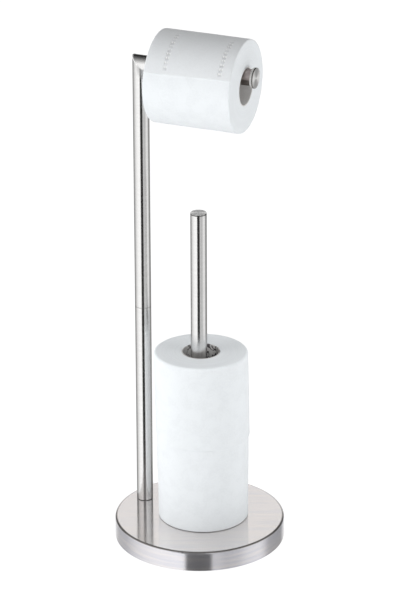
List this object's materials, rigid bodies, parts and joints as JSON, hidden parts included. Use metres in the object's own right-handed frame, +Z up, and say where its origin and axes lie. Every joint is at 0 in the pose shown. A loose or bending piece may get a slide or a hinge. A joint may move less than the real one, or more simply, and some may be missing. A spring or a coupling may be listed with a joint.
{
  "type": "freestanding toilet paper holder",
  "caption": "Floor stand with a weighted round base, a post with a mitred arm and stop ring for the roll in use, and a short post that stores spare rolls.",
  "frame": {"origin": "centre of the round base, on the floor that the foot pad stands on", "axes": "+Z up. +X runs along the arm, from the main post to the arm's free end, which is turned 12.5 degrees from the line between the two posts. +Y points to the back."},
  "size_m": [0.2, 0.2, 0.6198],
  "materials": {
    "brushed_steel": "satin, brushed round the base and along the tubes",
    "turned_steel": "fine turned faces with circular marks",
    "zinc_plated": "zinc plated, dull",
    "cast_weight": "rough black paint",
    "soft_pad": "fine foam",
    "gasket": "matt",
    "core_board": "grey-brown board, wound in a spiral",
    "tissue": "soft white tissue, embossed"
  },
  "bodies": {
    "stand": {"base_cover": "brushed_steel", "base_weight": "cast_weight", "foot_pad": "soft_pad", "post_bolts": "zinc_plated", "bolt_washers": "zinc_plated", "post_gaskets": "gasket", "lower_post_tube": "brushed_steel", "main_foot_plug": "zinc_plated", "lower_joint_plug": "zinc_plated", "joint_stud": "zinc_plated", "upper_joint_plug": "zinc_plated", "upper_post_tube": "brushed_steel", "arm_tube": "brushed_steel", "arm_stop_ring": "turned_steel", "arm_end_cap": "turned_steel", "spare_post_tube": "brushed_steel", "spare_foot_plug": "zinc_plated", "spare_post_cap": "turned_steel"},
    "hanging_roll": {"hanging_core": "core_board", "hanging_paper": "tissue"},
    "lower_spare_roll": {"lower_spare_core": "core_board", "lower_spare_paper": "tissue"},
    "upper_spare_roll": {"upper_spare_core": "core_board", "upper_spare_paper": "tissue"}
  },
  "joints": [
    {"name": "roll_spin", "type": "hinge", "parent": "stand", "child": "hanging_roll", "pos_m": [0, 0.01708, 0.5658], "axis": [1, 0, 0], "continuous": true},
    {"name": "lower_roll_lift", "type": "slide", "parent": "stand", "child": "lower_spare_roll", "axis": [0, 0, 1], "range_m": [0, 0.11]},
    {"name": "upper_roll_lift", "type": "slide", "parent": "lower_spare_roll", "child": "upper_spare_roll", "axis": [0, 0, 1], "range_m": [0, 0.164]}
  ]
}
